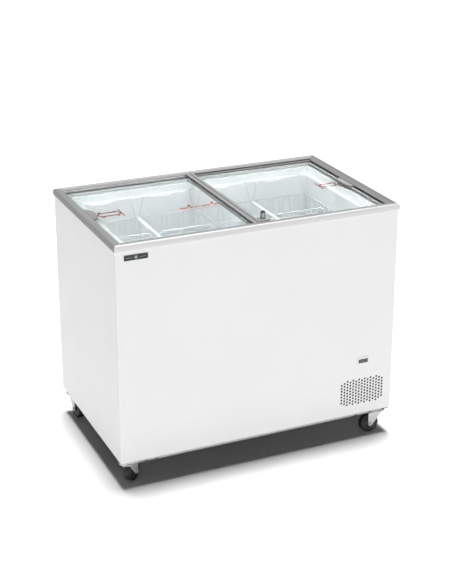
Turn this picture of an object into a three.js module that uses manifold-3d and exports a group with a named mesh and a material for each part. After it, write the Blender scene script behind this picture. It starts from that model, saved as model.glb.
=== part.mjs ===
// Sliding-glass-lid ice cream display cabinet: millimetres, +Z up.
// The origin is on the floor, below the middle of the cabinet; the front faces -Y.
import * as THREE from 'three';
import { mergeVertices } from 'three/addons/utils/BufferGeometryUtils.js';
import Module from 'manifold-3d';

const wasm = await Module();
wasm.setup();

// ---- driving sizes ----
const WIDTH = 1046;
const DEPTH = 650;
const FRAME_TOP = 883;
const FRAME_BOTTOM = 861;
const BODY_BOTTOM = 100;
const BASE_BOTTOM = 94;
const OVERHANG = 3.5;
const SHEET = 1.5;
const GAP = 0.3;

const HALF_X = WIDTH / 2 - OVERHANG;
const HALF_Y = DEPTH / 2 - OVERHANG;
const PANEL_TOP = FRAME_BOTTOM - GAP;

const LINER = { x: 458, y: 260, floor: 160, ledge: 826, top: 852.7, sheet: 1.2 };
const LEDGE = 12;
const FLANGE = { x: 484, y: 286 };
const HUMP = { x: 250, z: 390 };
const BAY = { x: 310, top: 330 };
const COIL = { turns: 5, low: 450, pitch: 62, radius: 4, corner: 6 };

const GLASS = 4;
const UPPER_GLASS = { left: -505, right: 2, y: 307, z: 873 };
const LOWER_GLASS = { left: -20, right: 501, y: 303, z: 863 };
const GRIP_LENGTH = 110;
const LOCK = { x: 19, y: -280 };

const BASKET = { count: 4, pitch: 229, x: 111, y: 253, floor: 592, rim: 751, wall: 2.4 };
const HANDLE = { x: 91, z: 828.5, y: 267 };
const DIVIDER = { x: 104, y: 85, low: 597, top: 749, corner: 24 };

const VENT = { x: 318.1, z: 189, pitch: 11.7, rise: 11.6, radius: 3.8 };
const VENT_COUNTS = [7, 8, 9, 8, 9, 8, 9, 8, 9, 8, 9, 8, 9, 8, 7];
const DISPLAY = { x: 401, z: 307.5 };
const BADGE = { left: -490, right: -408, low: 826.5, top: 845 };

const CASTOR = { x: 486, y: 286, trail: 34, wheel: 36, width: 24 };
const CASTOR_TURNS = {
  front_left: 41,
  front_right: 180,
  rear_left: -87,
  rear_right: 205,
};

// ---- materials ----
function material(color, metalness, roughness, opacity = 1) {
  const clear = opacity < 1;
  return new THREE.MeshStandardMaterial({ color, metalness, roughness, opacity, transparent: clear });
}

const WHITE_STEEL = material(0xeeeeee, 0.1, 0.45);
const GALVANISED = material(0xb9bcbc, 0.8, 0.5);
const ALUMINIUM = material(0xc4c5c4, 0.85, 0.38);
const CHROME = material(0xd5d7d8, 1.0, 0.18);
const LINER_SHEET = material(0xeef2f1, 0.1, 0.4);
const FOAM = material(0xe9dcae, 0.0, 0.95);
const COPPER = material(0xb87348, 1.0, 0.35);
const BLACK_PAINT = material(0x202122, 0.2, 0.5);
const BLACK_PLASTIC = material(0x1b1b1c, 0.0, 0.55);
const GREY_PLASTIC = material(0xc9cbca, 0.0, 0.5);
const WHITE_PLASTIC = material(0xededeb, 0.0, 0.45);
const CLEAR_GLASS = material(0xe4f1ee, 0.0, 0.05, 0.25);
const WHITE_WIRE = material(0xf1f2f2, 0.0, 0.4);
const RUBBER = material(0x1d1d1e, 0.0, 0.7);

// ---- solids ----
// Turns any closed three.js geometry into a solid: corners joined, empty triangles dropped.
function solid(geometry) {
  const bare = new THREE.BufferGeometry();
  bare.setAttribute('position', geometry.getAttribute('position').clone());
  if (geometry.index) bare.setIndex(geometry.index.clone());
  const joined = mergeVertices(bare, 1e-3);
  const corners = joined.index.array;
  const kept = [];
  for (let i = 0; i < corners.length; i += 3) {
    const [a, b, c] = [corners[i], corners[i + 1], corners[i + 2]];
    if (a !== b && b !== c && c !== a) kept.push(a, b, c);
  }
  return new wasm.Manifold(new wasm.Mesh({
    numProp: 3,
    vertProperties: new Float32Array(joined.getAttribute('position').array),
    triVerts: new Uint32Array(kept),
  }));
}

function join(...solids) {
  return solids.reduce((whole, next) => whole.add(next));
}

function cut(whole, ...tools) {
  return tools.reduce((rest, tool) => rest.subtract(tool), whole);
}

function block(x0, x1, y0, y1, z0, z1) {
  const geometry = new THREE.BoxGeometry(x1 - x0, y1 - y0, z1 - z0);
  geometry.translate((x0 + x1) / 2, (y0 + y1) / 2, (z0 + z1) / 2);
  return solid(geometry);
}

// A block centred on the cabinet's middle line both ways.
function centred(x, y, z0, z1) {
  return block(-x, x, -y, y, z0, z1);
}

function outlineShape(outline, holes = []) {
  const shape = new THREE.Shape(outline.map(([a, b]) => new THREE.Vector2(a, b)));
  for (const hole of holes) {
    shape.holes.push(new THREE.Path(hole.map(([a, b]) => new THREE.Vector2(a, b))));
  }
  return shape;
}

function extrude(outline, length, holes) {
  const options = { depth: length, bevelEnabled: false, curveSegments: 1 };
  return new THREE.ExtrudeGeometry(outlineShape(outline, holes), options);
}

// Outline in (y, z), pushed along X.
function extrudeX(outline, x0, x1, holes) {
  const geometry = extrude(outline, x1 - x0, holes);
  geometry.applyMatrix4(new THREE.Matrix4().set(0, 0, 1, x0, 1, 0, 0, 0, 0, 1, 0, 0, 0, 0, 0, 1));
  return solid(geometry);
}

// Outline in (x, z), pushed along Y.
function extrudeY(outline, y0, y1, holes) {
  const geometry = extrude(outline, y1 - y0, holes);
  geometry.applyMatrix4(new THREE.Matrix4().set(1, 0, 0, 0, 0, 0, -1, y1, 0, 1, 0, 0, 0, 0, 0, 1));
  return solid(geometry);
}

// Outline in (x, y), pushed along Z.
function extrudeZ(outline, z0, z1, holes) {
  const geometry = extrude(outline, z1 - z0, holes);
  geometry.translate(0, 0, z0);
  return solid(geometry);
}

function arc(centreA, centreB, radius, from, to, steps) {
  const points = [];
  for (let i = 0; i <= steps; i += 1) {
    const angle = THREE.MathUtils.degToRad(from + ((to - from) * i) / steps);
    points.push([centreA + radius * Math.cos(angle), centreB + radius * Math.sin(angle)]);
  }
  return points;
}

// A bar of even section along a path, mitred at each bend and closed at its ends.
function rod(path, radius, sides = 4, loop = false) {
  const points = path.map((p) => new THREE.Vector3(...p));
  const count = points.length;
  const direction = (i) => points[(i + 1) % count].clone().sub(points[i]).normalize();
  const first = direction(0);
  const across = new THREE.Vector3(0, 0, 1);
  if (Math.abs(first.z) > 0.9) across.set(0, 1, 0);
  across.cross(first).normalize();
  const beside = first.clone().cross(across);
  let ring = [];
  for (let k = 0; k < sides; k += 1) {
    const angle = (2 * Math.PI * k) / sides;
    const radial = across.clone().multiplyScalar(Math.cos(angle));
    radial.addScaledVector(beside, Math.sin(angle));
    ring.push(points[0].clone().addScaledVector(radial, radius));
  }
  const rings = [];
  for (let i = 0; i < count; i += 1) {
    const last = i === count - 1 && !loop;
    const inbound = i === 0 && !loop ? first : direction((i + count - 1) % count);
    const outbound = last ? inbound : direction(i);
    const mitre = inbound.clone().add(outbound).normalize();
    const travel = i === 0 ? first : inbound;
    ring = ring.map((p) => {
      const lag = points[i].clone().sub(p).dot(mitre) / travel.dot(mitre);
      return p.clone().addScaledVector(travel, lag);
    });
    rings.push(ring);
  }
  const positions = rings.flat().flatMap((p) => [p.x, p.y, p.z]);
  const index = [];
  const spans = loop ? count : count - 1;
  for (let i = 0; i < spans; i += 1) {
    for (let k = 0; k < sides; k += 1) {
      const a = i * sides + k;
      const b = i * sides + ((k + 1) % sides);
      const c = ((i + 1) % count) * sides + ((k + 1) % sides);
      const d = ((i + 1) % count) * sides + k;
      index.push(a, b, c, a, c, d);
    }
  }
  for (let k = 1; k < sides - 1 && !loop; k += 1) {
    const end = (count - 1) * sides;
    index.push(0, k + 1, k, end, end + k, end + k + 1);
  }
  const geometry = new THREE.BufferGeometry();
  geometry.setAttribute('position', new THREE.Float32BufferAttribute(positions, 3));
  geometry.setIndex(index);
  return solid(geometry);
}

function upright(x, y, z0, z1, radius, sides = 12) {
  return rod([[x, y, z0], [x, y, z1]], radius, sides);
}

function crosswise(x, z, y0, y1, radius, sides = 12) {
  return rod([[x, y0, z], [x, y1, z]], radius, sides);
}

// A profile of (radius, height) pairs turned about an upright axis at (x, y).
function turned(profile, sides, x = 0, y = 0) {
  const points = profile.map(([r, z]) => new THREE.Vector2(r, z));
  const geometry = new THREE.LatheGeometry(points, sides);
  geometry.rotateX(Math.PI / 2);
  geometry.translate(x, y, 0);
  return solid(geometry);
}

const group = new THREE.Group();
group.name = 'ice_cream_display_cabinet';

function add(name, body, surface, parent = group) {
  const built = body.getMesh();
  const geometry = new THREE.BufferGeometry();
  geometry.setAttribute('position', new THREE.BufferAttribute(built.vertProperties, 3));
  geometry.setIndex(new THREE.BufferAttribute(built.triVerts, 1));
  geometry.computeVertexNormals();
  const mesh = new THREE.Mesh(geometry, surface);
  mesh.name = name;
  parent.add(mesh);
}

function place(x, y, turn = 0) {
  const frame = new THREE.Group();
  frame.position.set(x, y, 0);
  frame.rotation.z = THREE.MathUtils.degToRad(turn);
  group.add(frame);
  return frame;
}

// ---- outer panels ----
function ventHoles() {
  const holes = [];
  VENT_COUNTS.forEach((count, column) => {
    const x = VENT.x + column * VENT.pitch;
    for (let row = 0; row < count; row += 1) {
      const z = VENT.z + (row - (count - 1) / 2) * VENT.rise;
      holes.push(arc(x, z, VENT.radius, 0, 300, 5));
    }
  });
  return holes;
}

function rectangle(a0, a1, b0, b1) {
  return [[a0, b0], [a1, b0], [a1, b1], [a0, b1]];
}

const displayHole = rectangle(
  DISPLAY.x - 19, DISPLAY.x + 19, DISPLAY.z - 8, DISPLAY.z + 8,
);
const frontSheet = extrudeY(
  rectangle(-HALF_X, HALF_X, BODY_BOTTOM, PANEL_TOP), -HALF_Y, -HALF_Y + SHEET,
  [...ventHoles(), displayHole],
);
add('front_panel', frontSheet, WHITE_STEEL);

const KNOB = { x: 420, z: 260, radius: 12 };
const GLAND = { x: 482, z: 140 };
const rearSheet = extrudeY(
  rectangle(-HALF_X, HALF_X, BODY_BOTTOM, PANEL_TOP), HALF_Y - SHEET, HALF_Y,
  [arc(KNOB.x, KNOB.z, 15, 0, 345, 23), arc(GLAND.x, GLAND.z, 9.6, 0, 330, 11)],
);
add('rear_panel', rearSheet, WHITE_STEEL);

const SIDE_Y = HALF_Y - SHEET - GAP;
add('left_panel', block(-HALF_X, -HALF_X + SHEET, -SIDE_Y, SIDE_Y, BODY_BOTTOM, PANEL_TOP), WHITE_STEEL);
add('right_panel', block(HALF_X - SHEET, HALF_X, -SIDE_Y, SIDE_Y, BODY_BOTTOM, PANEL_TOP), WHITE_STEEL);

// ---- base tray, turned down at its rim, with jig notches in the front and rear edges ----
const DRAIN = { x: -380, y: -190 };
const BASE_X = HALF_X - 4;
const BASE_Y = HALF_Y - 4;
const baseNotches = [-437, -375, 375, 437].map((x) => (
  block(x - 3, x + 3, -BASE_Y - 1, BASE_Y + 1, BASE_BOTTOM - 1, BASE_BOTTOM + 3)
));
add('base_plate', cut(
  centred(BASE_X, BASE_Y, BASE_BOTTOM, BODY_BOTTOM - GAP),
  centred(BASE_X - 2, BASE_Y - 2, BASE_BOTTOM - 1, BODY_BOTTOM - GAP - SHEET),
  upright(DRAIN.x, DRAIN.y, 80, 120, 11.8),
  ...baseNotches,
), GALVANISED);

// ---- inner liner with a step over the machine bay and a ledge for the baskets ----
function linerSpace(grow) {
  const x = LINER.x + grow;
  const y = LINER.y + grow;
  return join(
    centred(x, y, HUMP.z - grow, LINER.ledge + 1),
    block(-x, HUMP.x + grow, -y, y, LINER.floor - grow, HUMP.z + 1),
    centred(x + LEDGE, y + LEDGE, LINER.ledge - grow, LINER.top + 1),
  );
}

const linerShell = join(
  linerSpace(LINER.sheet),
  centred(FLANGE.x, FLANGE.y, LINER.top - LINER.sheet, LINER.top),
);
add('inner_liner', cut(
  linerShell,
  linerSpace(0),
  centred(WIDTH, DEPTH, LINER.top, LINER.top + 10),
  upright(DRAIN.x, DRAIN.y, 140, 170, 8.4),
), LINER_SHEET);

// ---- foam between the panels and the liner, cast as a floor and four walls ----
const FOAM_X = HALF_X - SHEET - GAP;
const FOAM_Y = HALF_Y - SHEET - GAP;
const WELL_X = LINER.x + LINER.sheet + GAP;
const WELL_Y = LINER.y + LINER.sheet + GAP;
const WALL_FOOT = BAY.top + GAP;
const LEG_Y = 110;
const coilBand = centred(
  LINER.x + 14, LINER.y + 14, COIL.low - 16, COIL.low + COIL.turns * COIL.pitch + 16,
);
const coilLeg = block(LINER.x, LINER.x + 14, LEG_Y - 8, LEG_Y + 8, BAY.top - 1, COIL.low);
const linerRoom = linerSpace(LINER.sheet + GAP);
const flangeRoom = centred(
  FLANGE.x + 1.3, FLANGE.y + 1.3, LINER.top - LINER.sheet - GAP, FRAME_TOP,
);

function foam(name, ...blocks) {
  add(name, cut(join(...blocks), linerRoom, flangeRoom, coilBand, coilLeg), FOAM);
}

add('foam_floor', cut(
  block(-FOAM_X, BAY.x, -FOAM_Y, FOAM_Y, BODY_BOTTOM, BAY.top),
  linerRoom,
  upright(DRAIN.x, DRAIN.y, 80, 170, 11.6),
), FOAM);
foam('foam_front', block(-FOAM_X, FOAM_X, -FOAM_Y, -WELL_Y, WALL_FOOT, PANEL_TOP));
foam('foam_rear', block(-FOAM_X, FOAM_X, WELL_Y, FOAM_Y, WALL_FOOT, PANEL_TOP));
foam('foam_left', block(-FOAM_X, -WELL_X, GAP - WELL_Y, WELL_Y - GAP, WALL_FOOT, PANEL_TOP));
foam(
  'foam_right',
  block(WELL_X, FOAM_X, GAP - WELL_Y, WELL_Y - GAP, WALL_FOOT, PANEL_TOP),
  block(HUMP.x, FOAM_X, GAP - WELL_Y, WELL_Y - GAP, WALL_FOOT, HUMP.z),
);

// ---- evaporator tube wound on the liner, its outlet leading down to the machine bay ----
function coilPath() {
  const x = LINER.x + LINER.sheet + GAP + COIL.radius + 1;
  const y = LINER.y + LINER.sheet + GAP + COIL.radius + 1;
  const r = COIL.corner;
  const path = [[x, LEG_Y, BAY.top - 20], [x, LEG_Y, COIL.low]];
  const corners = [
    [x - r, y - r, 0],
    [-x + r, y - r, 90],
    [-x + r, -y + r, 180],
    [x - r, -y + r, 270],
  ];
  for (let turn = 0; turn < COIL.turns; turn += 1) {
    corners.forEach(([cx, cy, from], side) => {
      const z = COIL.low + COIL.pitch * (turn + (side + 0.5) / 4);
      for (const [px, py] of arc(cx, cy, r, from, from + 90, 2)) {
        path.push([px, py, z]);
      }
    });
  }
  path.push([x, LEG_Y - 40, COIL.low + COIL.turns * COIL.pitch]);
  return path;
}
add('evaporator_coil', rod(coilPath(), COIL.radius, 4), COPPER);

// ---- drain ----
add('drain_tube', cut(
  upright(DRAIN.x, DRAIN.y, 88, LINER.floor - LINER.sheet - GAP, 11),
  upright(DRAIN.x, DRAIN.y, 80, 170, 8.4),
), GREY_PLASTIC);
add('drain_plug', join(
  upright(DRAIN.x, DRAIN.y, 132, 162, 7.6),
  upright(DRAIN.x, DRAIN.y, LINER.floor + GAP, 165, 15, 16),
  rod([[DRAIN.x - 9, DRAIN.y, 165], [DRAIN.x - 9, DRAIN.y, 174],
    [DRAIN.x + 9, DRAIN.y, 174], [DRAIN.x + 9, DRAIN.y, 164]], 2, 6),
), GREY_PLASTIC);

// ---- machine bay ----
const PUMP = { x: 418, y: 90, radius: 68 };
const pumpShell = turned([
  [0, 108], [60, 108], [66, 116], [68, 130], [68, 214], [64, 232], [50, 246], [26, 253], [0, 255],
], 24, PUMP.x, PUMP.y);
const pumpFeet = [-1, 1].flatMap((a) => [-1, 1].map((b) => (
  upright(PUMP.x + a * 66, PUMP.y + b * 66, BODY_BOTTOM, 107, 9)
)));
add('compressor', join(
  pumpShell,
  block(PUMP.x - 78, PUMP.x + 78, PUMP.y - 78, PUMP.y + 78, 105, 109),
  ...pumpFeet,
  block(PUMP.x - 24, PUMP.x + 24, PUMP.y + 60, PUMP.y + 92, 130, 190),
), BLACK_PAINT);

const FAN = { x: 402, z: 188, y: -266, radius: 58 };
const RADIATOR = { left: 324, right: 480, low: 112, top: 264 };
function finnedOutline(fins, front, rear) {
  const outline = [];
  const step = (RADIATOR.right - RADIATOR.left) / fins;
  const core = (front + rear) / 2;
  const side = (toward, edge) => {
    const points = [];
    for (let i = 0; i < fins; i += 1) {
      const x = RADIATOR.left + step * (i + 0.5);
      points.push([x - 1.2, core + toward * 4], [x - 1.2, edge]);
      points.push([x + 1.2, edge], [x + 1.2, core + toward * 4]);
    }
    return points;
  };
  outline.push(...side(-1, front), ...side(1, rear).reverse());
  return outline;
}
add('condenser', join(
  extrudeZ(finnedOutline(14, -313, -285), RADIATOR.low, RADIATOR.top),
  block(RADIATOR.left + 12, RADIATOR.left + 32, -309, -289, BODY_BOTTOM, RADIATOR.low + 2),
  block(RADIATOR.right - 32, RADIATOR.right - 12, -309, -289, BODY_BOTTOM, RADIATOR.low + 2),
), ALUMINIUM);

add('fan_shroud', join(
  extrudeY(
    rectangle(RADIATOR.left, RADIATOR.right, BODY_BOTTOM, RADIATOR.top), -280, -277,
    [arc(FAN.x, FAN.z, FAN.radius + 7, 0, 345, 23)],
  ),
  block(RADIATOR.left, RADIATOR.left + 5, -278, -240, FAN.z - 6, FAN.z + 6),
  block(RADIATOR.right - 5, RADIATOR.right, -278, -240, FAN.z - 6, FAN.z + 6),
  block(RADIATOR.left, RADIATOR.right, -244, -240, FAN.z - 6, FAN.z + 6),
  crosswise(FAN.x, FAN.z, -256, -212, 21, 16),
), BLACK_PAINT);

function fanBlades(count) {
  const blades = [];
  for (let i = 0; i < count; i += 1) {
    const blade = new THREE.BoxGeometry(30, 2, FAN.radius - 10);
    blade.translate(0, 0, (FAN.radius + 8) / 2);
    blade.rotateZ(THREE.MathUtils.degToRad(20));
    blade.rotateY((2 * Math.PI * i) / count);
    blade.translate(FAN.x, FAN.y, FAN.z);
    blades.push(solid(blade));
  }
  return blades;
}
add('fan_blade', join(
  crosswise(FAN.x, FAN.z, -274, -256.5, 14, 16), ...fanBlades(5),
), GREY_PLASTIC);

const DRIER = { x: 345, y: 250 };
add('filter_drier', join(
  turned(
    [[0, 150], [4, 150], [11, 162], [11, 244], [4, 258], [0, 258]], 12, DRIER.x, DRIER.y,
  ),
  rod([[DRIER.x, DRIER.y, 256], [DRIER.x, DRIER.y, 285], [DRIER.x + 50, DRIER.y, 285]], 2.5, 6),
  upright(DRIER.x, DRIER.y, 102, 152, 2.5, 6),
  block(DRIER.x - 12, DRIER.x + 12, DRIER.y - 12, DRIER.y + 12, BODY_BOTTOM, 103),
), COPPER);

add('thermostat_body', cut(
  block(KNOB.x - 30, KNOB.x + 30, 282, FOAM_Y, KNOB.z - 30, KNOB.z + 30),
  crosswise(KNOB.x, KNOB.z, 305.7, 330, 15.4, 24),
), GREY_PLASTIC);
add('thermostat_knob', cut(
  crosswise(KNOB.x, KNOB.z, 306, DEPTH / 2 - GAP, KNOB.radius, 20),
  block(KNOB.x - 1, KNOB.x + 1, 322, 330, KNOB.z + 3, KNOB.z + 20),
), BLACK_PLASTIC);
add('cable_gland', cut(
  join(
    crosswise(GLAND.x, GLAND.z, 306, FOAM_Y, 14, 6),
    crosswise(GLAND.x, GLAND.z, 310, 324, 9, 12),
    crosswise(GLAND.x, GLAND.z, HALF_Y + GAP, DEPTH / 2 - GAP, 13, 16),
  ),
  crosswise(GLAND.x, GLAND.z, 312, 330, 4.5, 12),
), BLACK_PLASTIC);

// ---- front fittings ----
add('display_bezel', extrudeY(
  rectangle(DISPLAY.x - 25.5, DISPLAY.x + 25.5, DISPLAY.z - 15, DISPLAY.z + 15),
  -HALF_Y - 1.8, -HALF_Y - GAP, [displayHole],
), WHITE_PLASTIC);
add('display_window', block(
  DISPLAY.x - 18.5, DISPLAY.x + 18.5, -HALF_Y - 1.4, -HALF_Y + 22, DISPLAY.z - 7.5, DISPLAY.z + 7.5,
), BLACK_PLASTIC);
add('badge_plate', block(
  BADGE.left, BADGE.right, -HALF_Y - 1.9, -HALF_Y - GAP, BADGE.low, BADGE.top,
), BLACK_PLASTIC);

// ---- top frame: one grooved section, mitred at the four corners ----
// Section as (distance in from the outer face, height).
const railSection = [
  [0, FRAME_BOTTOM],
  ...arc(8, FRAME_TOP - 8, 8, 180, 90, 4),
  [26, FRAME_TOP], [26, 878],
  [16, 878], [16, 872.3],
  [30, 872.3], [30, 868],
  [20, 868], [20, 862.3],
  [42, 862.3], [42, 853],
  [38, 853], [38, FRAME_BOTTOM],
];

function mitred(bar, signX, signY) {
  const corner = (WIDTH - DEPTH) / 2;
  const half = Math.SQRT1_2;
  return [-1, 1].reduce((rest, end) => {
    const normal = signX ? [signX * half, -end * half, 0] : [-end * half, signY * half, 0];
    const offset = signX ? corner * half + GAP / 2 : -corner * half + GAP / 2;
    return rest.trimByPlane(normal, offset);
  }, bar);
}

function rail(signX, signY) {
  const face = signX ? (signX * WIDTH) / 2 : (signY * DEPTH) / 2;
  const inward = -(signX || signY);
  const outline = railSection.map(([d, z]) => [face + inward * d, z]);
  const bar = signX
    ? extrudeY(outline, -DEPTH / 2, DEPTH / 2)
    : extrudeX(outline, -WIDTH / 2, WIDTH / 2);
  return mitred(bar, signX, signY);
}
add('front_rail', rail(0, -1), ALUMINIUM);
add('rear_rail', rail(0, 1), ALUMINIUM);
add('left_rail', rail(-1, 0), ALUMINIUM);
add('right_rail', rail(1, 0), ALUMINIUM);

// ---- sliding lids ----
function pane({ left, right, y, z }) {
  return block(left, right, -y, y, z, z + GLASS);
}
add('left_lid_glass', pane(UPPER_GLASS), CLEAR_GLASS);
add('right_lid_glass', pane(LOWER_GLASS), CLEAR_GLASS);

// A finger grip glued on the glass: straight on the frame side, rounded on the other.
function grip(edge, reach, z0, z1, upstand) {
  const inward = Math.sign(reach);
  const half = GRIP_LENGTH / 2;
  const outline = [
    [edge, -half], [edge + reach * 0.45, -half],
    [edge + reach * 0.85, -half * 0.8], [edge + reach, -half * 0.45],
    [edge + reach, half * 0.45], [edge + reach * 0.85, half * 0.8],
    [edge + reach * 0.45, half], [edge, half],
  ];
  if (inward < 0) outline.reverse();
  const ridge = block(
    Math.min(edge, edge + inward * 4), Math.max(edge, edge + inward * 4), -half, half, z0, z0 + upstand,
  );
  return join(extrudeZ(outline, z0, z1), ridge);
}
const upperTop = UPPER_GLASS.z + GLASS;
const lowerTop = LOWER_GLASS.z + GLASS;
add('left_lid_grip', grip(-496.7, 15.7, upperTop + GAP, 881, 6.5), GREY_PLASTIC);
add('right_lid_grip', grip(492.5, -22, lowerTop + GAP, 869.8, 4.5), GREY_PLASTIC);

// The left lid's closing bar caps the glass edge; the right lid's profile clips round its own.
const BAR_FRONT = -298;
add('left_lid_bar', join(
  block(-22, 5, BAR_FRONT, -BAR_FRONT, upperTop + GAP, 879.5),
  block(-22, -18, BAR_FRONT, -BAR_FRONT, upperTop + GAP, 882),
  block(-6, 5, BAR_FRONT, -BAR_FRONT, upperTop + GAP, FRAME_TOP),
  block(UPPER_GLASS.right + GAP, 5, BAR_FRONT, -BAR_FRONT, 872.6, FRAME_TOP),
), ALUMINIUM);
add('right_lid_profile', join(
  block(-23.5, -6, -282.5, 282.5, 858, LOWER_GLASS.z - GAP),
  block(-23.5, LOWER_GLASS.left - GAP, -282.5, 282.5, 858, lowerTop + 1.6),
  block(-23.5, -8, -282.5, 282.5, lowerTop + GAP, lowerTop + 1.6),
), ALUMINIUM);

// ---- lid lock ----
add('lock_bracket', cut(
  extrudeZ(
    [[5.3, -298], [33, -298], [30, -272], [22, -262], [5.3, -262]], 878.3, 886,
  ),
  upright(LOCK.x, LOCK.y, 870, 890, 3.6),
), GREY_PLASTIC);
add('lock_barrel', cut(
  turned(
    [[0, 886.3], [9.5, 886.3], [9.2, 890], [8, 910], [7, 911], [0, 911]], 20, LOCK.x, LOCK.y,
  ),
  upright(LOCK.x, LOCK.y, 885, 894.7, 3.6),
  upright(LOCK.x, LOCK.y, 895, 915, 5.2, 16),
  upright(LOCK.x, LOCK.y, 880, 915, 2),
), CHROME);
add('lock_plug', cut(
  upright(LOCK.x, LOCK.y, 895.3, 910.4, 4.7, 16),
  block(LOCK.x - 0.6, LOCK.x + 0.6, LOCK.y - 3, LOCK.y + 3, 903, 915),
), CHROME);
// The cam turns from along the bar to across the strike on the other lid.
add('lock_cam', join(
  upright(LOCK.x, LOCK.y, 869.3, 894, 3.1),
  block(LOCK.x - 12, LOCK.x, LOCK.y - 2.5, LOCK.y + 2.5, 869.3, 872),
), CHROME);
add('lock_strike', block(26, 30, -276, -266, lowerTop + GAP, 871), GREY_PLASTIC);

// ---- hanging wire baskets and their dividers ----
function basketHandle(end) {
  const half = [
    [BASKET.x - 3, BASKET.y, BASKET.rim],
    [HANDLE.x, BASKET.y, HANDLE.z],
    [HANDLE.x - 2, HANDLE.y, HANDLE.z],
  ];
  const mirrored = half.map(([x, y, z]) => [-x, y, z]).reverse();
  return [...half, ...mirrored].map(([x, y, z]) => [x, end * y, z]);
}

// Thin walls fill the plane of the welded mesh; the rim and the handles are round wire.
function basket() {
  const { x, y, floor, rim, wall } = BASKET;
  const rimLoop = [[-x, -y, rim], [x, -y, rim], [x, y, rim], [-x, y, rim]];
  return join(
    cut(
      centred(x + wall / 2, y + wall / 2, floor - wall / 2, rim),
      centred(x - wall / 2, y - wall / 2, floor + wall / 2, rim + 10),
    ),
    rod(rimLoop, 2.5, 4, true),
    rod(basketHandle(-1), 2),
    rod(basketHandle(1), 2),
  );
}

function divider() {
  const { x, y, low, top, corner } = DIVIDER;
  const frame = [
    [-x, y, low],
    ...arc(-x + corner, top - corner, corner, 180, 90, 3).map(([px, pz]) => [px, y, pz]),
    ...arc(x - corner, top - corner, corner, 90, 0, 3).map(([px, pz]) => [px, y, pz]),
    [x, y, low],
  ];
  const wires = [rod(frame, 2), rod([[-x, y, low + 4], [x, y, low + 4]], 1.6)];
  for (const wireX of [-52, 0, 52]) {
    wires.push(rod([[wireX, y, low + 4], [wireX, y, top]], 1.6));
  }
  return join(...wires);
}

for (let i = 0; i < BASKET.count; i += 1) {
  const bay = place((i - (BASKET.count - 1) / 2) * BASKET.pitch, 0);
  add(`basket_${i + 1}`, basket(), WHITE_WIRE, bay);
  add(`divider_${i + 1}`, divider(), WHITE_WIRE, bay);
}

// ---- swivel castors ----
// Built with the swivel axis on the origin and the wheel trailing toward +X.
const { trail, wheel, width } = CASTOR;
const castorPlate = join(
  block(-27, 27, -27, 27, 94.9, 97.9),
  turned([[0, 86.4], [22, 86.4], [26, 89], [26, 95.5], [0, 95.5]], 16),
  upright(0, 0, 77, 90, 6),
  upright(0, 0, 76, 79, 10, 6),
);
const forkSide = [
  [-12, 82], ...arc(trail, wheel, 9, 225, 360, 4), [trail + 9, 82],
];
// The axle bolt is drawn up tight, so it is one body with the fork.
const castorFork = join(
  cut(
    join(
      extrudeY(forkSide, -18.5, -16),
      extrudeY(forkSide, 16, 18.5),
      block(-12, trail + 9, -18.5, 18.5, 79.4, 82),
      turned([[0, 80], [26, 80], [30, 82.5], [30, 86], [0, 86]], 20),
    ),
    upright(0, 0, 70, 100, 6.6),
  ),
  crosswise(trail, wheel, -20, 20, 4),
  crosswise(trail, wheel, -22.5, -18, 6.5, 6),
  crosswise(trail, wheel, 18, 22.5, 6.5, 6),
);
const half = width / 2;
const treadProfile = new THREE.LatheGeometry([
  [0, -half - 2], [10, -half - 2], [10, -half + 2], [26, -half + 2], [27, -half], [32, -half],
  [wheel, -half + 4], [wheel, half - 4], [32, half], [27, half], [26, half - 2], [10, half - 2],
  [10, half + 2], [0, half + 2],
].map(([r, across]) => new THREE.Vector2(r, across)), 18);
treadProfile.translate(trail, 0, wheel);
const castorWheel = cut(solid(treadProfile), crosswise(trail, wheel, -40, 40, 4.4));

for (const [corner, turn] of Object.entries(CASTOR_TURNS)) {
  const x = corner.endsWith('left') ? -CASTOR.x : CASTOR.x;
  const y = corner.startsWith('front') ? -CASTOR.y : CASTOR.y;
  const swivel = place(x, y, turn);
  add(`castor_plate_${corner}`, castorPlate, GALVANISED, place(x, y));
  add(`castor_fork_${corner}`, castorFork, CHROME, swivel);
  add(`castor_wheel_${corner}`, castorWheel, RUBBER, swivel);
}

export default group;
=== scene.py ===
"""Sliding-glass-lid ice cream cabinet: looks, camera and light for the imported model, in metres."""
import math

import bmesh
import bpy
from mathutils import Matrix, Vector


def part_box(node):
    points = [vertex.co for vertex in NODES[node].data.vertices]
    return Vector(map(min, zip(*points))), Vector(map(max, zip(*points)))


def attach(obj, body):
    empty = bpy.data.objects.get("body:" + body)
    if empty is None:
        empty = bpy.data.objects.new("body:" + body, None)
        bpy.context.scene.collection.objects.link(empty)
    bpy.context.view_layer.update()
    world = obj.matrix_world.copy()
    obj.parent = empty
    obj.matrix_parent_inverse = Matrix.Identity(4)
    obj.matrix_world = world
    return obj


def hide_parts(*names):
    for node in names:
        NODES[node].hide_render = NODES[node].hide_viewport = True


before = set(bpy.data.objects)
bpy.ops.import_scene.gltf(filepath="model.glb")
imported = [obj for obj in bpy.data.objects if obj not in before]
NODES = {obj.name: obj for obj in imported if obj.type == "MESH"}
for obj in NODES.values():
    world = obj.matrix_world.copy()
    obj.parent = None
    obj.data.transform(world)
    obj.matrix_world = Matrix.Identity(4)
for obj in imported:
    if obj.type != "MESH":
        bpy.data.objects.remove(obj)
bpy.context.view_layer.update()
MM = 0.001



# ---- camera and light ----

LENS, SENSOR, SHIFT_UP = 83.56, 36.0, -0.103
CAMERA_PLACE = (-1.832, -4.132, 2.382)
CAMERA_DIP, CAMERA_TURN = 19.87, 24.02  # degrees below level, and to the right of straight ahead
AMBIENT = 0.06


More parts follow.
